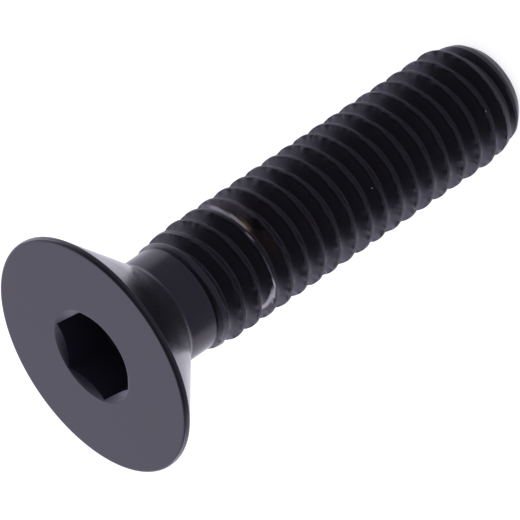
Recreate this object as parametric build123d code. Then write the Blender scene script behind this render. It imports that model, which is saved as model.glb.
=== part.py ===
from build123d import *

import os
from math import ceil, cos, pi, radians, sin, tan

# Countersunk screw with a hexagon socket, thread M6 x 1, 25 mm long over the head.
# Lengths are in millimetres and angles in degrees.
# The screw stands on the flat of its point, with its axis along +Z and its head on top.
# Depths are measured down from the face of the head.

# Head
overall_length = 25.0
head_diameter = 11.87
rim_land = 0.27
countersink_angle = 90.0
face_edge_break = 0.14

# Hexagon socket, with a corner towards +X
across_flats = 4.0
socket_depth = 2.4
socket_floor_angle = 120.0
socket_floor_flat = 0.6
mouth_oversize = 0.06
mouth_angle = 120.0

# Plain neck under the head
neck_diameter = 5.22
neck_length = 1.5
neck_round = 0.18

# Rolled right-hand thread
pitch = 1.0
major_diameter = 5.84
thread_angle = 60.0
crest_flat_per_pitch = 1 / 8
root_flat_per_pitch = 1 / 5
shoulder_height = 0.09
crest_rise = 1.5
groove_overlap = 0.3
groove_start_angle = 17.2
run_in_turns = 0.45

# Point
lead_length = 1.3
lead_drop = 0.39
point_length = 0.5
point_drop = 0.28
point_edge_break = 0.15

# Depths of the features along the shank
cone_length = (head_diameter - neck_diameter) / 2 / tan(radians(countersink_angle / 2))
thread_start = rim_land + cone_length + neck_length
groove_start = thread_start - groove_overlap
point_start = overall_length - point_length
lead_start = point_start - lead_length

# Modelling of the thread: how finely it is drawn, the depth its groove starts from, and how
# far outside the full crests the outline runs that trims the crests at both ends
points_per_turn = 44
run_in_depth = 0.02
crest_clearance = 0.05


def height(depth):
    """The height over the point of a depth under the face of the head."""
    return overall_length - depth


def turned(outline):
    """The solid that a closed outline of (radius, depth) points makes when turned on the axis."""
    corners = [(radius, 0, height(depth)) for radius, depth in outline]
    return revolve(make_face(Polyline(corners, close=True)), Axis.Z)


def head():
    """The countersunk head and the plain neck, down to where the thread starts."""
    head_radius = head_diameter / 2
    neck_radius = neck_diameter / 2
    cone_end = rim_land + cone_length
    outline = [
        (0, 0),
        (head_radius - face_edge_break, 0),
        (head_radius, face_edge_break),
        (head_radius, rim_land),
        (neck_radius, cone_end),
        (neck_radius, thread_start),
        (0, thread_start),
    ]
    solid = turned(outline)
    rings = solid.edges().filter_by(GeomType.CIRCLE)
    under_cone = rings.sort_by(lambda ring: abs(ring.center().Z - height(cone_end)))[0]
    return fillet(under_cone, neck_round)


def shank_limits():
    """The outline that trims the thread: it rises from the neck and falls again to the point."""
    shoulder_radius = neck_diameter / 2 + shoulder_height
    shoulder_end = thread_start + shoulder_height
    crest_radius = major_diameter / 2
    lead_radius = crest_radius - lead_drop
    point_radius = lead_radius - point_drop
    clear_radius = crest_radius + crest_clearance
    rise_run = crest_rise * crest_clearance / (crest_radius - shoulder_radius)
    lead_run = lead_length * crest_clearance / lead_drop
    outline = [
        (0, thread_start),
        (neck_diameter / 2, thread_start),
        (shoulder_radius, shoulder_end),
        (clear_radius, shoulder_end + crest_rise + rise_run),
        (clear_radius, lead_start - lead_run),
        (lead_radius, point_start),
        (point_radius, overall_length - point_edge_break),
        (point_radius - point_edge_break, overall_length),
        (0, overall_length),
    ]
    return turned(outline)


def socket():
    """The hexagon socket with its conical floor and the chamfer round its mouth."""
    flat_radius = across_flats / 2
    corner_radius = flat_radius / cos(pi / 6)
    hexagon = Pos(0, 0, overall_length) * RegularPolygon(corner_radius, 6)
    walls = extrude(hexagon, -socket_depth)
    floor_radius = socket_floor_flat / 2
    floor_depth = (flat_radius - floor_radius) / tan(radians(socket_floor_angle / 2))
    floor_cone = Cone(floor_radius, flat_radius, floor_depth)
    floor = Pos(0, 0, height(socket_depth + floor_depth / 2)) * floor_cone
    mouth_radius = corner_radius + mouth_oversize
    mouth_end_radius = flat_radius / 2
    mouth_depth = (mouth_radius - mouth_end_radius) / tan(radians(mouth_angle / 2))
    mouth_cone = Cone(mouth_end_radius, mouth_radius, mouth_depth)
    mouth = Pos(0, 0, height(mouth_depth / 2)) * mouth_cone
    return walls + floor + mouth


def thread_edge(turns, place):
    """One long edge of the thread, as a smooth curve that winds down the shank.

    place is 0 and 3 for the two edges of the crests and 1 and 2 for the two of the root, in
    their order down the shank. The root sinks into the shank over the run-in.
    """
    is_root = place in (1, 2)
    side = -1 if place < 2 else 1
    flank_slope = tan(radians(thread_angle / 2))
    root_half = pitch * root_flat_per_pitch / 2
    crest_half = pitch * (1 - crest_flat_per_pitch) / 2
    full_depth = (crest_half - root_half) / flank_slope
    points = []
    for turn in turns:
        share = min(max(turn / run_in_turns, 0), 1)
        groove_depth = run_in_depth + (full_depth - run_in_depth) * (1 - cos(pi * share)) / 2
        radius = major_diameter / 2 - (groove_depth if is_root else 0)
        half_width = root_half + (0 if is_root else groove_depth * flank_slope)
        angle = radians(groove_start_angle - 360 * turn)
        depth = groove_start + pitch * turn + side * half_width
        points.append(Vector(radius * cos(angle), radius * sin(angle), height(depth)))
    return Edge.make_spline(points, parameters=turns)


def rod_end(first_crest, profile, end):
    """The two faces that close the threaded rod, between its last long edge and the axis."""
    corners = [edge.position_at(end) for edge in profile]
    on_axis = [Vector(0, 0, first_crest.position_at(side).Z) for side in (0, 1)]
    spiral = Face.make_surface_from_curves(Edge.make_line(*on_axis), first_crest)
    step = Face(Wire.make_polygon(corners + on_axis[::-1], close=True))
    return [spiral, step]


def threaded_rod():
    """A rod with the thread rolled on it, longer at both ends than the thread of the screw."""
    turns_after = ceil((overall_length - groove_start) / pitch) + 1
    rows = []
    for turn in range(-1, turns_after + 1):
        turns = [turn + step / points_per_turn for step in range(points_per_turn + 1)]
        rows.append([thread_edge(turns, place) for place in range(4)])
    faces = []
    for row, next_row in zip(rows, rows[1:]):
        edges = row + next_row[:1]
        for edge, neighbour in zip(edges, edges[1:]):
            faces.append(Face.make_surface_from_curves(edge, neighbour))
    faces += rod_end(rows[0][0], rows[0] + rows[1][:1], 0)
    faces += rod_end(rows[-1][0], rows[-2] + rows[-1][:1], 1)
    return Solid(Shell(faces))


thread = threaded_rod() & shank_limits()
screw = head() + thread - socket()

os.makedirs("parts", exist_ok=True)
export_step(screw, "parts/screw.step")
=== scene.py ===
"""The looks of a countersunk screw with a hexagon socket: its form in full and its black finish.

The screw stands on the flat of its point with its axis along +Z. Depths are measured down from
the face of the head. Sizes are written in millimetres and turned into metres by MM.
"""

import logging
import math
from dataclasses import dataclass
from enum import Enum
from typing import Any, Callable, Optional, Union

import bmesh
import bpy
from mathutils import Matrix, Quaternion, Vector

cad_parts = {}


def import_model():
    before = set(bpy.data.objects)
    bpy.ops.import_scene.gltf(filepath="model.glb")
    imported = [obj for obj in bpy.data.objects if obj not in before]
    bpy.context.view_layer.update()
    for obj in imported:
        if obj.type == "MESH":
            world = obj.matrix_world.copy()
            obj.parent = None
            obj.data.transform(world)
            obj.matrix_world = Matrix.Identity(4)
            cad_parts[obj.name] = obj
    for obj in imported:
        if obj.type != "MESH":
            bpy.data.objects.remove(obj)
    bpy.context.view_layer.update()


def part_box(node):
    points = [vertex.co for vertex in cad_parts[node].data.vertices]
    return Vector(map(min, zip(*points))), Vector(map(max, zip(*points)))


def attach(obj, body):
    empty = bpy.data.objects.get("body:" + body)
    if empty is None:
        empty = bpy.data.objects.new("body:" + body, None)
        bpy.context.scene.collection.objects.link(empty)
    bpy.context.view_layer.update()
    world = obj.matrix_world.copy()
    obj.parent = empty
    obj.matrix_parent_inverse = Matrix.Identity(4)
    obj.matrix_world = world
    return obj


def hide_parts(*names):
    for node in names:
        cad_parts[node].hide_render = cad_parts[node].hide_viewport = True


LOG = logging.getLogger("screw")
MM = 0.001

Number = Union[float, "Value"]
Ring = list[Vector]


# ---------------------------------------------------------------- nodes


class Value:
    """A number socket of a node tree, with arithmetic that adds Math nodes."""

    def __init__(self, nodes: "Nodes", socket: bpy.types.NodeSocket) -> None:
        """Keeps the socket and the tree that it belongs to."""
        self.nodes = nodes
        self.socket = socket

    def _math(self, operation: str, *terms: Number) -> "Value":
        """Adds one Math node on the terms and returns its result."""
        return self.nodes.math(operation, *terms)

    def __add__(self, other: Number) -> "Value":
        """self + other."""
        return self._math("ADD", self, other)

    def __radd__(self, other: Number) -> "Value":
        """other + self."""
        return self._math("ADD", other, self)

    def __sub__(self, other: Number) -> "Value":
        """self - other."""
        return self._math("SUBTRACT", self, other)

    def __rsub__(self, other: Number) -> "Value":
        """other - self."""
        return self._math("SUBTRACT", other, self)

    def __mul__(self, other: Number) -> "Value":
        """self * other."""
        return self._math("MULTIPLY", self, other)

    def __truediv__(self, other: Number) -> "Value":
        """self / other."""
        return self._math("DIVIDE", self, other)


class Blend(Enum):
    """Ways to mix two colours."""

    MIX = "MIX"
    MULTIPLY = "MULTIPLY"


class Nodes:
    """Adds nodes to one tree and links their sockets."""

    def __init__(self, tree: bpy.types.NodeTree) -> None:
        """Keeps the tree that the nodes go into."""
        self.tree = tree

    def add(
        self,
        kind: str,
        settings: Optional[dict[str, Any]] = None,
        sockets: Optional[dict[Union[str, int], Any]] = None,
    ) -> bpy.types.Node:
        """Adds a node.

        Args:
            kind: the node's type, such as ShaderNodeTexNoise.
            settings: properties that are set before the sockets; "points" fills a float curve.
            sockets: values or links by the input's name or number.

        Returns:
            The new node.
        """
        node = self.tree.nodes.new(kind)
        for name, value in (settings or {}).items():
            if name == "points":
                self._fill_curve(node.mapping, value)
            else:
                setattr(node, name, value)
        for key, value in (sockets or {}).items():
            self.put(node.inputs[key], value)
        return node

    def put(self, target: bpy.types.NodeSocket, value: Any) -> None:
        """Links a socket or a Value to an input, or writes a plain value on it."""
        if isinstance(value, Value):
            self.tree.links.new(value.socket, target)
        elif isinstance(value, bpy.types.NodeSocket):
            self.tree.links.new(value, target)
        else:
            target.default_value = value

    def math(self, operation: str, *terms: Number) -> Value:
        """Adds one Math node and returns its result."""
        settings = {"operation": operation}
        node = self.add("ShaderNodeMath", settings, dict(enumerate(terms)))
        return Value(self, node.outputs[0])

    def value(self, node: bpy.types.Node, output: Union[str, int] = 0) -> Value:
        """Wraps an output of a node, for arithmetic."""
        return Value(self, node.outputs[output])

    def step(self, value: Number, start: float, end: float) -> Value:
        """A smooth step of a value, from 0 at start to 1 at end; end may be the lower one."""
        settings = {"interpolation_type": "SMOOTHSTEP", "clamp": True}
        low, high = min(start, end), max(start, end)
        span = {"From Min": low, "From Max": high}
        shares = {"To Min": float(start > end), "To Max": float(start < end)}
        node = self.add("ShaderNodeMapRange", settings, {"Value": value, **span, **shares})
        return Value(self, node.outputs["Result"])

    def window(self, value: Number, low: float, high: float, soft: float) -> Value:
        """1 where a value lies between two limits, falling softly to 0 outside them."""
        return self.step(value, low - soft, low + soft) * self.step(value, high + soft, high - soft)

    def mix_colour(
        self, share: Number, first: Any, second: Any, blend: Blend = Blend.MIX
    ) -> bpy.types.NodeSocket:
        """Mixes two colours and returns the colour socket."""
        settings = {"data_type": "RGBA", "blend_type": blend.value}
        sockets = {"Factor": share, "A": first, "B": second}
        node = self.tree.nodes.new("ShaderNodeMix")
        for name, setting in settings.items():
            setattr(node, name, setting)
        colour_inputs = {s.name: s for s in node.inputs if s.enabled}
        for name, value in sockets.items():
            self.put(colour_inputs[name], value)
        return next(s for s in node.outputs if s.enabled)

    @staticmethod
    def _fill_curve(mapping: bpy.types.CurveMapping, points: list[tuple[float, float]]) -> None:
        """Writes the points of a float curve, joined by straight lines."""
        curve = mapping.curves[0]
        while len(curve.points) < len(points):
            curve.points.new(0.5, 0.5)
        for point, (x, y) in zip(curve.points, points):
            point.location = (x, y)
            point.handle_type = "VECTOR"
        mapping.update()


# ---------------------------------------------------------------- sizes


@dataclass(frozen=True)
class ScrewSizes:
    """Sizes of the screw in millimetres; angles are in degrees."""

    overall_length: float
    head_radius: float
    rim_land: float = 0.27
    face_edge: float = 0.14
    rim_edge: float = 0.10
    cone_angle: float = 90.0
    neck_radius: float = 2.61
    neck_length: float = 1.58
    neck_round: float = 0.34
    flat_radius: float = 2.0
    socket_depth: float = 2.4
    socket_floor_angle: float = 120.0
    socket_floor_radius: float = 0.3
    mouth_oversize: float = 0.06
    mouth_angle: float = 120.0
    pitch: float = 1.0
    crest_radius: float = 2.92
    thread_angle: float = 60.0
    crest_flat_share: float = 1 / 8
    root_flat_share: float = 1 / 5
    shoulder_height: float = 0.11
    crest_rise: float = 1.5
    groove_overlap: float = 0.38
    groove_start_angle: float = 17.2
    lead_length: float = 1.3
    lead_drop: float = 0.39
    point_length: float = 0.5
    point_drop: float = 0.28
    point_edge: float = 0.15
    columns: int = 192

    @property
    def cone_end(self) -> float:
        """Depth at which the countersink reaches the neck."""
        slope = math.tan(math.radians(self.cone_angle / 2))
        return self.rim_land + (self.head_radius - self.neck_radius) / slope

    @property
    def thread_start(self) -> float:
        """Depth at which the neck ends and the shoulder of the thread rises."""
        return self.cone_end + self.neck_length

    @property
    def groove_start(self) -> float:
        """Depth of the middle of the groove where it starts."""
        return self.thread_start - self.groove_overlap

    @property
    def point_start(self) -> float:
        """Depth at which the chamfer of the point starts."""
        return self.overall_length - self.point_length

    @property
    def lead_start(self) -> float:
        """Depth at which the crests start to fall towards the point."""
        return self.point_start - self.lead_length

    @property
    def flank_slope(self) -> float:
        """Run of a flank along the axis for each millimetre of depth."""
        return math.tan(math.radians(self.thread_angle / 2))

    @property
    def thread_depth(self) -> float:
        """Depth of the groove under the crests."""
        crest_half = self.pitch * (1 - self.crest_flat_share) / 2
        root_half = self.pitch * self.root_flat_share / 2
        return (crest_half - root_half) / self.flank_slope


# ---------------------------------------------------------------- head


class Head:
    """The countersunk head with its hexagon socket, and the plain neck."""

    arc_steps = 5
    guard = 0.03

    def __init__(self, sizes: ScrewSizes) -> None:
        """Keeps the sizes of the screw."""
        self.sizes = sizes

    def build(self) -> bmesh.types.BMesh:
        """Makes the head's mesh, open at the neck and closed at the socket's floor."""
        mesh = bmesh.new()
        rings = self._outside() + self._socket()
        rows = [[mesh.verts.new(point * MM) for point in ring] for ring in rings]
        for row, next_row in zip(rows, rows[1:]):
            for near, far in zip(range(-1, len(row) - 1), range(len(row))):
                mesh.faces.new((row[near], row[far], next_row[far], next_row[near]))
        floor_middle = mesh.verts.new((0, 0, rows[-1][0].co.z))
        for near, far in zip(range(-1, len(rows[-1]) - 1), range(len(rows[-1]))):
            mesh.faces.new((rows[-1][near], rows[-1][far], floor_middle))
        return mesh

    def _ring(self, radius: Callable[[float], float], depth: Callable[[float], float]) -> Ring:
        """One closed ring of points, with its radius and depth given for each angle."""
        count = self.sizes.columns
        angles = [2 * math.pi * column / count for column in range(count)]
        top = self.sizes.overall_length
        return [
            Vector((radius(a) * math.cos(a), radius(a) * math.sin(a), top - depth(a)))
            for a in angles
        ]

    def _circle(self, radius: float, depth: float) -> Ring:
        """One round ring of points."""
        return self._ring(lambda angle: radius, lambda angle: depth)

    def _arc(self, centre: tuple[float, float], radius: float, start: float, end: float) -> list:
        """Stations (radius, depth) along an arc of the section, with its angles in degrees."""
        stations = []
        for step in range(self.arc_steps + 1):
            angle = math.radians(start + (end - start) * step / self.arc_steps)
            across = centre[0] + radius * math.cos(angle)
            down = centre[1] + radius * math.sin(angle)
            stations.append((across, down))
        return stations

    def _outside(self) -> list[Ring]:
        """Rings from the neck's end, up the countersink and over the rim to the socket's mouth."""
        s = self.sizes
        half = math.radians(s.cone_angle / 2)
        tangent = s.neck_round * math.tan(half / 2)
        fillet_centre = (s.neck_radius + s.neck_round, s.cone_end + tangent)
        fillet = self._arc(fillet_centre, s.neck_round, 180, 180 + math.degrees(half))
        below = (s.neck_radius, s.cone_end + tangent + self.guard)
        on_cone = fillet[-1]
        above = (on_cone[0] + self.guard * math.sin(half), on_cone[1] - self.guard * math.cos(half))
        rim_tangent = s.rim_edge * math.tan(half / 2)
        rim_centre = (s.head_radius - s.rim_edge, s.rim_land - rim_tangent)
        rim = self._arc(rim_centre, s.rim_edge, 90 - math.degrees(half), 0)
        before_rim = (
            rim[0][0] - self.guard * math.sin(half),
            rim[0][1] + self.guard * math.cos(half),
        )
        edge_centre = (s.head_radius - s.face_edge, s.face_edge)
        edge = self._arc(edge_centre, s.face_edge, 0, -90)
        inside_edge = (edge[-1][0] - self.guard, 0.0)
        mouth_radius = s.flat_radius / math.cos(math.pi / 6) + s.mouth_oversize
        middle = ((mouth_radius + s.head_radius) / 2, 0.0)
        mouth_guard = (mouth_radius + self.guard, 0.0)
        stations = [(s.neck_radius, s.thread_start), below, *fillet, above, before_rim, *rim]
        stations += [*edge, inside_edge, middle, mouth_guard, (mouth_radius, 0.0)]
        return [self._circle(radius, depth) for radius, depth in stations]

    def _hexagon(self, angle: float) -> float:
        """Radius of the hexagon's wall at an angle, with a corner towards +X."""
        sector = math.pi / 3
        from_flat = (angle % sector) - sector / 2
        return self.sizes.flat_radius / math.cos(from_flat)

    def _socket(self) -> list[Ring]:
        """Rings from the chamfer of the mouth, down the six walls and over the conical floor."""
        s = self.sizes
        mouth_radius = s.flat_radius / math.cos(math.pi / 6) + s.mouth_oversize
        floor_slope = math.tan(math.radians(s.socket_floor_angle / 2))
        mouth_slope = math.tan(math.radians(s.mouth_angle / 2))

        def chamfer(angle: float) -> float:
            return (mouth_radius - self._hexagon(angle)) / mouth_slope

        def below_chamfer(angle: float) -> float:
            return chamfer(angle) + self.guard

        rings = [self._ring(self._hexagon, chamfer), self._ring(self._hexagon, below_chamfer)]
        for depth in (s.socket_depth / 2, s.socket_depth - self.guard, s.socket_depth):
            rings.append(self._ring(self._hexagon, lambda angle, depth=depth: depth))
        for radius in (s.flat_radius, s.flat_radius / 2, s.socket_floor_radius):
            depth = s.socket_depth + (s.flat_radius - radius) / floor_slope
            rings.append(self._circle(radius, depth))
        return rings


# ---------------------------------------------------------------- shank


@dataclass(frozen=True)
class ThreadForm:
    """Section of the thread over one pitch, as evenly numbered stations that follow its bends."""

    rows: int = 16
    crest_round: float = 0.035
    crest_fall: float = 0.35
    root_round: float = 0.06
    root_lift: float = 0.12
    edge_blend: float = 0.02

    def stations(self, sizes: ScrewSizes) -> list[tuple[float, float]]:
        """Stations from the middle of one crest to the middle of the next.

        Args:
            sizes: the sizes of the screw.

        Returns:
            For each row its place along the pitch, from -0.5 to 0.5 about the middle of the
            groove, and its height, from 0 at the root to 1 at the crest.
        """
        crest_edge = sizes.crest_flat_share * sizes.pitch / 2
        root_edge = sizes.pitch * (1 - sizes.root_flat_share) / 2
        depth = sizes.thread_depth
        fall = self.crest_round * self.crest_fall / depth
        lift = self.root_round * self.root_lift / depth
        low_flank = (root_edge - self.root_round - crest_edge) / (root_edge - crest_edge)
        near_crest = self.crest_round / (root_edge - crest_edge)
        half = [
            (0.0, 1.0),
            (crest_edge - self.crest_round, 1.0),
            (crest_edge, 1.0 - fall),
            (crest_edge + self.crest_round, 1.0 - near_crest),
            (crest_edge + (root_edge - crest_edge) / 3, 2 / 3),
            (crest_edge + (root_edge - crest_edge) * 2 / 3, 1 / 3),
            (root_edge - self.root_round, 1.0 - low_flank),
            (root_edge + self.root_round / 2, lift),
            (sizes.pitch / 2, 0.0),
        ]
        left = [(across / sizes.pitch - 0.5, height) for across, height in half]
        right = [(-across, height) for across, height in reversed(left[:-1])]
        return left + right


@dataclass(frozen=True)
class CrestWear:
    """The small unevenness that rolling leaves on the crests, lengths in millimetres.

    The edges of a crest wander along the shank inside two narrow bands, which are given as shares
    of the pitch from the middle of the groove. They stay put within fade_start of both ends of
    the shank.
    """

    seed: float = 7.0
    grain: float = 0.45
    detail: float = 2.0
    roughness: float = 0.012
    rough_heights: tuple = (0.8, 0.98)
    rough_level: float = 0.75
    raggedness: float = 0.22
    band_on_flank: tuple = (0.33, 0.42)
    band_on_crest: tuple = (0.495, 0.46)
    near_level: float = 0.3
    far_level: float = 0.5
    fade_start: float = 0.2
    fade_end: float = 0.4


class Shank:
    """The threaded shank from the neck to the point, made along its helix by a node tree."""

    weld = 0.0005
    wall_gap = 0.1
    cells_before = 3
    cells_after = 2

    def __init__(self, sizes: ScrewSizes, form: ThreadForm, wear: CrestWear) -> None:
        """Keeps the sizes of the screw, the section of its thread and the wear of its crests."""
        self.sizes = sizes
        self.form = form
        self.wear = wear

    def build(self, finish: bpy.types.Material) -> bpy.types.Mesh:
        """Makes the shank's mesh.

        Args:
            finish: the material that the tree sets on the mesh.

        Returns:
            A plain mesh, open at the neck and closed at the point.
        """
        holder = bpy.data.meshes.new("shank_holder")
        carrier = bpy.data.objects.new("shank_holder", holder)
        bpy.context.scene.collection.objects.link(carrier)
        modifier = carrier.modifiers.new("rolled_thread", "NODES")
        tree, inputs = self._tree()
        modifier.node_group = tree
        for name, value in self._values(finish).items():
            modifier[inputs[name]] = value
        depsgraph = bpy.context.evaluated_depsgraph_get()
        mesh = bpy.data.meshes.new_from_object(carrier.evaluated_get(depsgraph))
        carrier.modifiers.remove(modifier)
        bpy.data.objects.remove(carrier)
        return mesh

    def _values(self, finish: bpy.types.Material) -> dict[str, Any]:
        """The values of the tree's named inputs, lengths in metres."""
        s = self.sizes
        return {
            "Columns": s.columns,
            "Pitch": s.pitch * MM,
            "Crest radius": s.crest_radius * MM,
            "Thread depth": s.thread_depth * MM,
            "Neck radius": s.neck_radius * MM,
            "Thread start": s.thread_start * MM,
            "Shoulder height": s.shoulder_height * MM,
            "Crest rise": s.crest_rise * MM,
            "Groove start": s.groove_start * MM,
            "Groove start turn": s.groove_start_angle / 360,
            "Lead start": s.lead_start * MM,
            "Lead length": s.lead_length * MM,
            "Lead drop": s.lead_drop * MM,
            "Point length": s.point_length * MM,
            "Point drop": s.point_drop * MM,
            "Point edge": s.point_edge * MM,
            "Overall length": s.overall_length * MM,
            "Crest roughness": self.wear.roughness * MM,
            "Crest raggedness": self.wear.raggedness * MM,
            "Crest grain": self.wear.grain * MM,
            "Edge blend": self.form.edge_blend * MM,
            "Seed": self.wear.seed,
            "Finish": finish,
        }

    def _tree(self) -> tuple[bpy.types.NodeTree, dict[str, str]]:
        """Builds the node tree and returns it with the identifiers of its inputs by name."""
        tree = bpy.data.node_groups.new("rolled_thread", "GeometryNodeTree")
        kinds = {"Columns": "NodeSocketInt", "Finish": "NodeSocketMaterial"}
        inputs = {}
        for name in self._values(None):
            kind = kinds.get(name, "NodeSocketFloat")
            socket = tree.interface.new_socket(name, in_out="INPUT", socket_type=kind)
            inputs[name] = socket.identifier
        tree.interface.new_socket("Mesh", in_out="OUTPUT", socket_type="NodeSocketGeometry")
        nodes = Nodes(tree)
        group = nodes.add("NodeGroupInput")
        given = {name: nodes.value(group, name) for name in inputs}
        wall = self._wall(nodes, given)
        flat = self._flat(nodes, given)
        join = nodes.add("GeometryNodeJoinGeometry")
        for part in (wall, flat):
            tree.links.new(part, join.inputs[0])
        weld_sockets = {"Geometry": join.outputs[0], "Distance": self.weld * MM}
        weld = nodes.add("GeometryNodeMergeByDistance", None, weld_sockets)
        real = nodes.add("GeometryNodeRealizeInstances", None, {0: weld.outputs[0]})
        sockets = {"Geometry": real.outputs[0], "Material": given["Finish"]}
        dressed = nodes.add("GeometryNodeSetMaterial", None, sockets)
        nodes.add("NodeGroupOutput", None, {0: dressed.outputs[0]})
        return tree, inputs

    def _wall(self, nodes: Nodes, given: dict[str, Value]) -> bpy.types.NodeSocket:
        """The wall of the shank: a grid whose rows follow the helix.

        Args:
            nodes: the tree.
            given: the tree's inputs by name.

        Returns:
            The geometry socket of the wall.
        """
        s = self.sizes
        rows = self.form.rows
        turns = math.ceil((s.overall_length - s.groove_start) / s.pitch)
        row_count = (self.cells_before + turns + self.cells_after) * rows
        grid = nodes.add(
            "GeometryNodeMeshGrid",
            None,
            {
                "Size X": 1.0,
                "Size Y": 1.0,
                "Vertices X": given["Columns"] + 1,
                "Vertices Y": row_count + 1,
            },
        )
        place = nodes.add("GeometryNodeInputPosition")
        split = nodes.add("ShaderNodeSeparateXYZ", None, {0: place.outputs[0]})
        column_share = nodes.value(split, "X") + 0.5
        row = nodes.math("ROUND", (nodes.value(split, "Y") + 0.5) * row_count)
        cell = nodes.math("FLOOR", (row + 0.5) / rows)
        share = row / rows - cell
        along = self._along(nodes, share)
        turn = cell - self.cells_before + column_share + given["Groove start turn"]
        place = given["Groove start"] + given["Pitch"] * (turn + along)
        depth = nodes.math("MAXIMUM", place, given["Thread start"])
        depth = nodes.math("MINIMUM", depth, given["Overall length"])
        kept = (depth - given["Groove start"]) / given["Pitch"] - turn
        height = self._height(nodes, kept - nodes.math("ROUND", kept))
        angle = column_share * (-2 * math.pi)
        cosine = nodes.math("COSINE", angle)
        sine = nodes.math("SINE", angle)
        noise = self._crest_noise(nodes, given, (cosine, sine, depth))
        rough = nodes.step(height, *self.wear.rough_heights) * (noise - self.wear.rough_level)
        grain = rough * given["Crest roughness"] * 2.0
        depth = depth - self._shift(nodes, given, along, noise, depth)
        thread = given["Crest radius"] - given["Thread depth"] * (1.0 - height) + grain
        limit = self._limit(nodes, given, depth)
        radius = nodes.math("SMOOTH_MIN", thread, limit, given["Edge blend"])
        on_neck = nodes.math("LESS_THAN", place, given["Thread start"] - self.wall_gap * MM)
        radius = radius + (given["Neck radius"] - radius) * on_neck
        point_sockets = {"X": radius * cosine, "Y": radius * sine}
        point_sockets["Z"] = given["Overall length"] - depth
        point = nodes.add("ShaderNodeCombineXYZ", None, point_sockets)
        sockets = {"Geometry": grid.outputs["Mesh"], "Position": point.outputs[0]}
        return nodes.add("GeometryNodeSetPosition", None, sockets).outputs[0]

    def _shift(
        self,
        nodes: Nodes,
        given: dict[str, Value],
        along: Value,
        noise: Value,
        depth: Value,
    ) -> Value:
        """How far the ragged edges of the crests wander towards the head.

        Args:
            nodes: the tree.
            given: the tree's inputs by name.
            along: place of the row along the pitch, from the middle of the groove.
            noise: the noise of the crests, from 0 to 1.
            depth: depth of the wall before the shift.

        Returns:
            The shift, a length in metres.
        """
        wear = self.wear
        near_edge = self._band(nodes, along, 1)
        far_edge = self._band(nodes, along, -1)
        shift = near_edge * (noise - wear.near_level) + far_edge * (noise - wear.far_level)
        fade = (wear.fade_start * MM, wear.fade_end * MM)
        clear = nodes.step(depth - given["Thread start"], *fade)
        clear = clear * nodes.step(given["Overall length"] - depth, *fade)
        return shift * given["Crest raggedness"] * clear

    def _band(self, nodes: Nodes, along: Value, side: int) -> Value:
        """1 in the narrow band beside one edge of the crest and 0 outside it; side is 1 or -1."""
        from_crest = [side * place for place in self.wear.band_on_crest]
        from_flank = [side * place for place in self.wear.band_on_flank]
        return nodes.step(along, *from_crest) * nodes.step(along, *from_flank)

    def _along(self, nodes: Nodes, share: Value) -> Value:
        """Place of a row along the pitch, -0.5 to 0.5, from its share of the pitch's rows."""
        stations = self.form.stations(self.sizes)
        last = len(stations) - 1
        points = [(i / last, along + 0.5) for i, (along, _) in enumerate(stations)]
        node = nodes.add("ShaderNodeFloatCurve", {"points": points}, {"Value": share})
        return nodes.value(node) - 0.5

    def _height(self, nodes: Nodes, along: Value) -> Value:
        """Height of the thread at a place along the pitch: 0 at the root and 1 at the crest."""
        half = [(along_at, height) for along_at, height in self.form.stations(self.sizes)]
        points = [(2 * along_at, height) for along_at, height in half if along_at >= 0]
        place = nodes.math("ABSOLUTE", along) * 2.0
        node = nodes.add("ShaderNodeFloatCurve", {"points": points}, {"Value": place})
        return nodes.value(node)

    def _crest_noise(
        self,
        nodes: Nodes,
        given: dict[str, Value],
        place: tuple[Value, Value, Value],
    ) -> Value:
        """Noise along the crests, for the small unevenness that rolling leaves on them.

        Args:
            nodes: the tree.
            given: the tree's inputs by name.
            place: cosine and sine of the angle, and the depth.

        Returns:
            The noise, from 0 to 1.
        """
        cosine, sine, depth = place
        around = given["Crest radius"] / given["Crest grain"]
        sockets = {"X": cosine * around, "Y": sine * around, "Z": depth / given["Crest grain"]}
        vector = nodes.add("ShaderNodeCombineXYZ", None, sockets)
        settings = {"noise_dimensions": "4D"}
        inputs = {"Vector": vector.outputs[0], "W": given["Seed"], "Scale": 1.0}
        inputs["Detail"] = self.wear.detail
        return nodes.value(nodes.add("ShaderNodeTexNoise", settings, inputs))

    def _limit(self, nodes: Nodes, given: dict[str, Value], depth: Value) -> Value:
        """Radius of the turned outline that trims the thread at the neck and at the point."""
        crest = given["Crest radius"]
        neck = given["Neck radius"]
        shoulder = given["Shoulder height"]
        into_shoulder = depth - given["Thread start"]
        rise = (crest - neck - shoulder) / given["Crest rise"]
        after_shoulder = neck + shoulder + (into_shoulder - shoulder) * rise
        start = nodes.math("MINIMUM", neck + into_shoulder, after_shoulder)
        start = nodes.math("MAXIMUM", start, neck)
        into_lead = depth - given["Lead start"]
        lead = crest - into_lead * given["Lead drop"] / given["Lead length"]
        into_point = into_lead - given["Lead length"]
        lead_radius = crest - given["Lead drop"]
        point_run = given["Point length"] - given["Point edge"]
        point = lead_radius - into_point * given["Point drop"] / point_run
        to_end = given["Overall length"] - depth
        end = lead_radius - given["Point drop"] - given["Point edge"] + to_end
        limit = nodes.math("MINIMUM", start, lead)
        limit = nodes.math("MINIMUM", limit, point)
        return nodes.math("MINIMUM", limit, end)

    def _flat(self, nodes: Nodes, given: dict[str, Value]) -> bpy.types.NodeSocket:
        """The flat of the point: a disc that closes the wall's last ring."""
        radius = given["Crest radius"] - given["Lead drop"]
        radius = radius - given["Point drop"] - given["Point edge"]
        settings = {"fill_type": "TRIANGLE_FAN"}
        sockets = {"Vertices": given["Columns"], "Radius": radius}
        return nodes.add("GeometryNodeMeshCircle", settings, sockets).outputs[0]


# ---------------------------------------------------------------- finish


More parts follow.
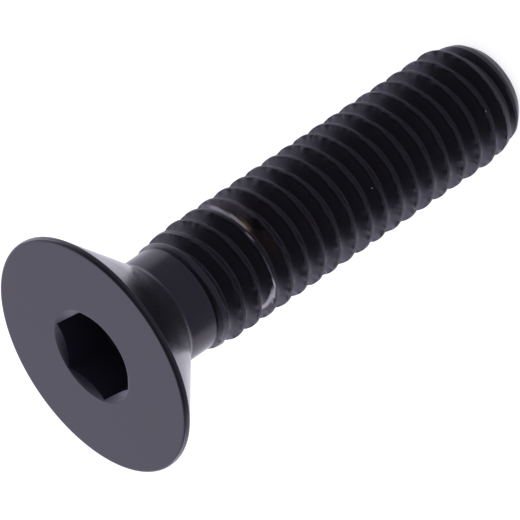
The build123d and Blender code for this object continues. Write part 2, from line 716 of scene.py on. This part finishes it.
@dataclass(frozen=True)
class Mark:
    """A strip of one colour beside a crest of the thread; the strips are stains, painted highlights
    and one painted shadow.

    Its middle lies offset millimetres down the shank from the middle of the numbered groove,
    plus slope for each degree. Its ends are the angles start and end, in degrees.
    """

    groove: int
    start: float
    end: float
    offset: float
    slope: float
    half_width: float
    colour: tuple
    share: float = 1.0
    soft: float = 0.03
    fade: float = 6.0


@dataclass(frozen=True)
class BlackOxide:
    """Black oxide over forged and rolled steel: near black, half matt, a little purple.

    Patches, softness and windows are in millimetres; the other numbers are shares.
    """

    sizes: ScrewSizes
    colour: tuple = (0.0140, 0.0141, 0.0146, 1.0)
    brown: tuple = (0.0150, 0.0105, 0.0105, 1.0)
    # Painted shade: the crests are painted this dark against the light that they catch.
    crest_shade_colour: tuple = (0.0020, 0.0022, 0.0025, 1.0)
    # Painted light: a little lighter and bluer than the finish, to lift the shade in the socket.
    socket_lit_colour: tuple = (0.015, 0.014, 0.019, 1.0)
    speck_colour: tuple = (0.60, 0.58, 0.60, 1.0)
    sheen: tuple = (0.90, 0.83, 1.0, 1.0)
    specular: float = 0.46
    head_roughness: float = 0.20
    thread_roughness: float = 0.31
    crest_roughness: float = 0.50
    mottle: float = 1.8
    mottle_shade: tuple = (0.85, 0.3)
    mottle_roughness: float = 0.25
    brown_patch: float = 2.6
    brown_window: tuple = (0.52, 0.72)
    brown_share: float = 0.4
    edge_soft: float = 0.1
    crest_shade_depth: float = 0.08
    crest_shade_soft: float = 0.05
    matt_depth: float = 0.06
    matt_soft: float = 0.04
    crest_margin: float = 0.1
    socket_margin: float = 0.02
    wander_patch: float = 0.35
    wander_along: float = 0.08
    wander_round: float = 16.0
    speck_core: float = 0.6
    # The strips: the grey, gold and brown washes are stains; the light strips and streaks are
    # painted highlights; the near black patch is a painted shadow.
    stains_and_painted_light: tuple = (
        Mark(4, -30.0, 48.0, 0.31, 0.0, 0.13, (0.050, 0.044, 0.046, 1.0), 0.9, 0.08, 10.0),
        # Painted highlights on this line and the next: a light streak in the groove's root.
        Mark(4, 16.0, 40.0, 0.137, 0.0058, 0.012, (0.14, 0.13, 0.14, 1.0), 1.0, 0.05, 9.0),
        Mark(4, -4.0, 22.0, 0.137, 0.0054, 0.015, (0.46, 0.44, 0.45, 1.0), 1.0, 0.05, 8.0),
        Mark(4, -42.0, -22.0, 0.225, 0.0028, 0.03, (0.150, 0.092, 0.032, 1.0), 0.9, 0.05, 6.0),
        # A painted highlight: a light streak beside the gold stain.
        Mark(4, -36.0, -4.0, 0.145, 0.0028, 0.028, (0.50, 0.45, 0.41, 1.0), 1.0, 0.05, 8.0),
        # A painted shadow: a near black patch.
        Mark(4, -48.0, -34.0, 0.35, 0.0, 0.08, (0.004, 0.003, 0.003, 1.0), 0.9, 0.06, 5.0),
        Mark(4, -75.0, -46.0, 0.20, 0.0, 0.12, (0.026, 0.017, 0.013, 1.0), 0.7, 0.12, 10.0),
        # Painted highlights on this line and the next two: light lines along a crest's edge.
        Mark(3, -50.0, -42.0, 0.52, 0.0, 0.03, (0.30, 0.26, 0.25, 1.0), 0.9, 0.03, 4.0),
        Mark(3, -100.0, -70.0, 0.45, 0.0, 0.01, (0.12, 0.115, 0.12, 1.0), 1.0, 0.03, 12.0),
        Mark(3, -104.0, -92.0, 0.44, 0.0, 0.02, (0.65, 0.62, 0.63, 1.0), 1.0, 0.04, 6.0),
        Mark(3, -145.0, -104.0, 0.46, 0.0, 0.14, (0.035, 0.030, 0.028, 1.0), 0.9, 0.06, 6.0),
        # A painted highlight: a bright strip.
        Mark(3, -145.0, -102.0, 0.965, 0.0057, 0.018, (0.72, 0.69, 0.68, 1.0), 1.0, 0.05, 6.0),
    )
    specks: tuple = ((-73.0, 15.355, 2.70, 0.035), (-72.3, 22.537, 2.92, 0.03))

    def build(self, name: str) -> bpy.types.Material:
        """Makes the material.

        Args:
            name: the material's name.

        Returns:
            The material.
        """
        material = bpy.data.materials.new(name)
        material.use_nodes = True
        material.node_tree.nodes.clear()
        nodes = Nodes(material.node_tree)
        place = nodes.add("ShaderNodeTexCoord").outputs["Object"]
        mottle = self._noise(nodes, place, self.mottle, 3.0)
        shade_base, shade_span = self.mottle_shade
        shade = shade_base + mottle * shade_span
        tint = nodes.add("ShaderNodeCombineColor", None, {0: shade, 1: shade, 2: shade})
        colour = nodes.mix_colour(1.0, self.colour, tint.outputs[0], Blend.MULTIPLY)
        browned = nodes.step(self._noise(nodes, place, self.brown_patch, 2.0), *self.brown_window)
        colour = nodes.mix_colour(browned * self.brown_share, colour, self.brown)
        colour = self._crest_shade(nodes, place, colour)
        colour = self._lay_stains_and_painted_light(nodes, place, colour)
        s = self.sizes
        radius, _, depth = self._place(nodes, place)
        mouth_radius = s.flat_radius / math.cos(math.pi / 6)
        inside = nodes.step(radius, mouth_radius + self.socket_margin, mouth_radius)
        socket_end = s.thread_start - s.pitch
        in_socket = inside * nodes.window(depth, self.edge_soft / 2, socket_end, self.edge_soft)
        # Painted light: the socket's own colour lifts the shade inside it.
        colour = nodes.mix_colour(in_socket, colour, self.socket_lit_colour)
        on_thread = nodes.window(depth, s.thread_start, s.point_start, self.edge_soft)
        roughness = self.head_roughness + on_thread * (self.thread_roughness - self.head_roughness)
        crest_low = s.crest_radius - self.matt_depth
        crest_high = s.crest_radius + self.crest_margin
        rolled = nodes.window(radius, crest_low, crest_high, self.matt_soft)
        matt = self.crest_roughness - self.thread_roughness
        roughness = roughness + rolled * on_thread * matt
        roughness = roughness + (mottle - 0.5) * self.mottle_roughness
        sockets = {
            "Base Color": colour,
            "Roughness": roughness,
            "Specular IOR Level": self.specular,
            "Specular Tint": self.sheen,
        }
        skin = nodes.add("ShaderNodeBsdfPrincipled", None, sockets)
        nodes.add("ShaderNodeOutputMaterial", None, {"Surface": skin.outputs[0]})
        return material

    def _noise(self, nodes: Nodes, place: Any, size: float, detail: float) -> Value:
        """Noise over the surface with features of a size in millimetres."""
        sockets = {"Vector": place, "Scale": 1 / (size * MM), "Detail": detail}
        return nodes.value(nodes.add("ShaderNodeTexNoise", None, sockets))

    def _place(self, nodes: Nodes, place: Any) -> tuple[Value, Value, Value]:
        """Radius, angle in degrees and depth of the surface, lengths in millimetres."""
        split = nodes.add("ShaderNodeSeparateXYZ", None, {0: place})
        x, y, z = (nodes.value(split, axis) * (1 / MM) for axis in "XYZ")
        radius = nodes.math("SQRT", x * x + y * y)
        angle = nodes.math("ARCTAN2", y, x) * (180 / math.pi)
        return radius, angle, self.sizes.overall_length - z

    def _crest_shade(self, nodes: Nodes, place: Any, colour: Any) -> Any:
        """Paints the crests of the thread a little darker: painted shade, against the light that
        the crests catch.
        """
        radius, _, depth = self._place(nodes, place)
        s = self.sizes
        crest_low = s.crest_radius - self.crest_shade_depth
        crest_high = s.crest_radius + self.crest_margin
        crest = nodes.window(radius, crest_low, crest_high, self.crest_shade_soft)
        on_shank = nodes.step(depth, s.thread_start, s.thread_start + 2 * self.edge_soft)
        return nodes.mix_colour(crest * on_shank, colour, self.crest_shade_colour)

    def _lay_stains_and_painted_light(self, nodes: Nodes, place: Any, colour: Any) -> Any:
        """Lays the strips over the finish, which are stains, painted highlights and a painted
        shadow, and then the light specks.
        """
        s = self.sizes
        radius, angle, depth = self._place(nodes, place)
        wander = self._noise(nodes, place, self.wander_patch, 3.0) - 0.5
        crest_limit = s.crest_radius + self.crest_margin
        on_shank = nodes.step(radius, crest_limit, s.crest_radius + self.crest_margin / 2)
        turn = (s.groove_start_angle - angle) * (1 / 360)
        along = depth - s.groove_start - turn * s.pitch + wander * self.wander_along
        ragged_angle = angle + wander * self.wander_round
        for mark in self.stains_and_painted_light:
            middle = ragged_angle * mark.slope + (mark.offset + mark.groove * s.pitch)
            across = nodes.math("ABSOLUTE", along - middle)
            inside = nodes.step(across, mark.half_width + mark.soft, mark.half_width)
            between = nodes.window(ragged_angle, mark.start, mark.end, mark.fade)
            colour = nodes.mix_colour(
                inside * between * on_shank * mark.share, colour, mark.colour
            )
        for angle_at, depth_at, radius_at, size in self.specks:
            turned = math.radians(angle_at)
            height = s.overall_length - depth_at
            point = Vector((radius_at * math.cos(turned), radius_at * math.sin(turned), height))
            sockets = {0: place, 1: point * MM}
            gap = nodes.add("ShaderNodeVectorMath", {"operation": "DISTANCE"}, sockets)
            near = nodes.step(nodes.value(gap, "Value"), size * MM, size * MM * self.speck_core)
            colour = nodes.mix_colour(near, colour, self.speck_colour)
        return colour


# ---------------------------------------------------------------- screw


class Screw:
    """The whole screw as one closed piece."""

    crease_angle = 38.0

    def __init__(self, sizes: ScrewSizes) -> None:
        """Keeps the sizes and makes the two parts of the form."""
        self.sizes = sizes
        self.head = Head(sizes)
        self.shank = Shank(sizes, ThreadForm(), CrestWear())

    def build(self, finish: bpy.types.Material) -> bpy.types.Object:
        """Joins the head and the shank into one mesh and makes the piece.

        Args:
            finish: the screw's material.

        Returns:
            The piece, riding on the frame in the place of its plain solid.
        """
        form = self.head.build()
        shank = self.shank.build(finish)
        form.from_mesh(shank)
        bmesh.ops.remove_doubles(form, verts=form.verts, dist=self.shank.weld * MM)
        bmesh.ops.recalc_face_normals(form, faces=form.faces)
        for face in form.faces:
            face.smooth = True
        mesh = bpy.data.meshes.new("black_socket_screw")
        form.to_mesh(mesh)
        form.free()
        mesh.materials.clear()
        mesh.materials.append(finish)
        mesh.set_sharp_from_angle(angle=math.radians(self.crease_angle))
        piece = bpy.data.objects.new("black_socket_screw", mesh)
        bpy.context.scene.collection.objects.link(piece)
        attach(piece, "root")
        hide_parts("screw")
        LOG.info("%s: %d faces", piece.name, len(mesh.polygons))
        return piece


# ---------------------------------------------------------------- studio


@dataclass(frozen=True)
class Camera:
    """The camera: a long lens that looks down on the head from the side."""

    azimuth: float = 34.786
    elevation: float = 30.642
    roll: float = -124.320
    distance: float = 0.371
    aim: tuple = (0.001823, -0.003777, 0.017508)
    lens: float = 580.57
    sensor_width: float = 36.0
    clip: tuple = (0.01, 20.0)

    def build(self) -> None:
        """Makes the camera and sets it as the scene's own."""
        across = math.radians(self.azimuth)
        down = math.radians(self.elevation)
        level = math.cos(down)
        forward = Vector((-math.sin(across) * level, math.cos(across) * level, -math.sin(down)))
        data = bpy.data.cameras.new("camera")
        data.lens = self.lens
        data.sensor_width = self.sensor_width
        data.clip_start, data.clip_end = self.clip
        camera = bpy.data.objects.new("camera", data)
        camera.location = Vector(self.aim) - forward * self.distance
        camera.rotation_mode = "QUATERNION"
        turn = Quaternion((0, 0, 1), math.radians(self.roll))
        camera.rotation_quaternion = forward.to_track_quat("-Z", "Y") @ turn
        bpy.context.scene.collection.objects.link(camera)
        bpy.context.scene.camera = camera


@dataclass(frozen=True)
class Softbox:
    """A soft lamp that points at the middle of the screw; its place is given by two angles."""

    name: str
    azimuth: float
    elevation: float
    power: float
    width: float
    height: float
    distance: float = 0.35
    colour: tuple = (0.90, 0.88, 1.0)

    def build(self, target: Vector) -> None:
        """Makes the lamp.

        Args:
            target: the point that the lamp looks at.
        """
        data = bpy.data.lights.new(self.name, "AREA")
        data.shape = "RECTANGLE"
        data.size = self.width
        data.size_y = self.height
        data.energy = self.power
        data.color = self.colour
        lamp = bpy.data.objects.new(self.name, data)
        across = math.radians(self.azimuth)
        upward = math.radians(self.elevation)
        level = math.cos(upward)
        way = Vector((math.sin(across) * level, -math.cos(across) * level, math.sin(upward)))
        lamp.location = target + way * self.distance
        lamp.rotation_mode = "QUATERNION"
        lamp.rotation_quaternion = (-way).to_track_quat("-Z", "Y")
        bpy.context.scene.collection.objects.link(lamp)


class Studio:
    """The pale floor, the world and the lamps.

    The camera sees a white room. What mirrors the room sees it white only on the far side: the
    world is dark towards dark_side, and the floor's glow ends in front of the screw.
    """

    white = (1.0, 1.0, 1.0, 1.0)
    world_level = 0.75
    camera_side = (0.491, -0.707, 0.510)
    dark_side = (0.403, -0.581, 0.707)
    dark_span = (-0.15, 0.55)
    dark_level = 0.08
    cool_white = (0.82, 0.80, 1.0, 1.0)
    mirrored_level = 1.1
    floor_half = 1.5
    floor_edge = (-0.004, 0.008)
    floor_colour = (0.60, 0.60, 0.60, 1.0)
    floor_glow = 0.78
    cool_glow = (0.94, 0.91, 1.0, 1.0)

    softboxes = (
        Softbox("far_softbox", 215.0, 30.0, 0.05, 0.30, 0.20),
        Softbox("left_softbox", 159.0, 6.0, 0.25, 0.25, 0.15),
        Softbox("right_softbox", -92.0, 6.0, 0.25, 0.25, 0.15),
    )

    def build(self, target: Vector) -> None:
        """Makes the floor, the world and the lamps round a target."""
        self._world()
        self._floor()
        for softbox in self.softboxes:
            softbox.build(target)

    def _seen(self, nodes: Nodes) -> tuple[Value, Value]:
        """Two shares, 1 for what the camera sees straight and for what it sees otherwise.

        Args:
            nodes: the tree of the world or of a material.

        Returns:
            The share of what is seen straight, and of what is seen in a mirror or through glass.
        """
        path = nodes.add("ShaderNodeLightPath")
        straight = nodes.value(path, "Is Camera Ray")
        mirrored = nodes.value(path, "Is Glossy Ray") + nodes.value(path, "Is Transmission Ray")
        return straight, nodes.math("MINIMUM", mirrored, 1.0)

    def _towards(self, nodes: Nodes, way: Any, side: tuple, start: float, end: float) -> Value:
        """A share that rises as a direction or a place goes towards a side."""
        sockets = {0: way, 1: side}
        facing = nodes.add("ShaderNodeVectorMath", {"operation": "DOT_PRODUCT"}, sockets)
        return nodes.step(nodes.value(facing, "Value"), start, end)

    def _world(self) -> None:
        """A cool white world, with a soft dark patch for what mirrors it on the camera's side."""
        world = bpy.data.worlds.new("white_room")
        bpy.context.scene.world = world
        world.use_nodes = True
        world.node_tree.nodes.clear()
        nodes = Nodes(world.node_tree)
        straight, mirrored = self._seen(nodes)
        way = nodes.add("ShaderNodeTexCoord").outputs["Generated"]
        dark = self._towards(nodes, way, self.dark_side, *self.dark_span) * (1 - self.dark_level)
        level = self.world_level + mirrored * (self.mirrored_level - self.world_level)
        strength = straight + (1.0 - straight) * level * (1.0 - dark * mirrored)
        colour = nodes.mix_colour(straight, self.cool_white, self.white)
        sockets = {"Color": colour, "Strength": strength}
        light = nodes.add("ShaderNodeBackground", None, sockets)
        nodes.add("ShaderNodeOutputWorld", None, {"Surface": light.outputs[0]})

    def _floor(self) -> None:
        """A pale matt floor at the height that the screw stands on."""
        mesh = bpy.data.meshes.new("floor")
        half = self.floor_half
        corners = [(-half, -half, 0), (half, -half, 0), (half, half, 0), (-half, half, 0)]
        mesh.from_pydata(corners, [], [(0, 1, 2, 3)])
        floor = bpy.data.objects.new("floor", mesh)
        bpy.context.scene.collection.objects.link(floor)
        material = bpy.data.materials.new("pale_floor")
        material.use_nodes = True
        material.node_tree.nodes.clear()
        nodes = Nodes(material.node_tree)
        sockets = {"Color": self.floor_colour}
        matt = nodes.add("ShaderNodeBsdfDiffuse", None, sockets)
        straight, mirrored = self._seen(nodes)
        place = nodes.add("ShaderNodeTexCoord").outputs["Object"]
        behind = 1.0 - self._towards(nodes, place, self.camera_side, *self.floor_edge)
        glow_strength = (straight + mirrored * behind) * self.floor_glow
        glow_colour = nodes.mix_colour(straight, self.cool_glow, self.white)
        glow_sockets = {"Color": glow_colour, "Strength": glow_strength}
        glow = nodes.add("ShaderNodeEmission", None, glow_sockets)
        both = nodes.add("ShaderNodeAddShader", None, {0: matt.outputs[0], 1: glow.outputs[0]})
        nodes.add("ShaderNodeOutputMaterial", None, {"Surface": both.outputs[0]})
        mesh.materials.append(material)


def corners(bounds: tuple[Vector, Vector]) -> list[list[float]]:
    """Two corners of a box as plain lists of numbers."""
    return [[float(x) for x in corner] for corner in bounds]


def main() -> None:
    """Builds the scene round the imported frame."""
    logging.basicConfig(level=logging.INFO, format="%(name)s: %(message)s")
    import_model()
    Camera().build()
    low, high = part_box("screw")
    sizes = ScrewSizes(overall_length=(high.z - low.z) / MM, head_radius=high.x / MM)
    Studio().build(Vector((0, 0, high.z / 2)))
    finish = BlackOxide(sizes).build("black_oxide")
    Screw(sizes).build(finish)
    scene = bpy.context.scene
    scene.view_settings.view_transform = "Standard"


if __name__ == "__main__":
    main()
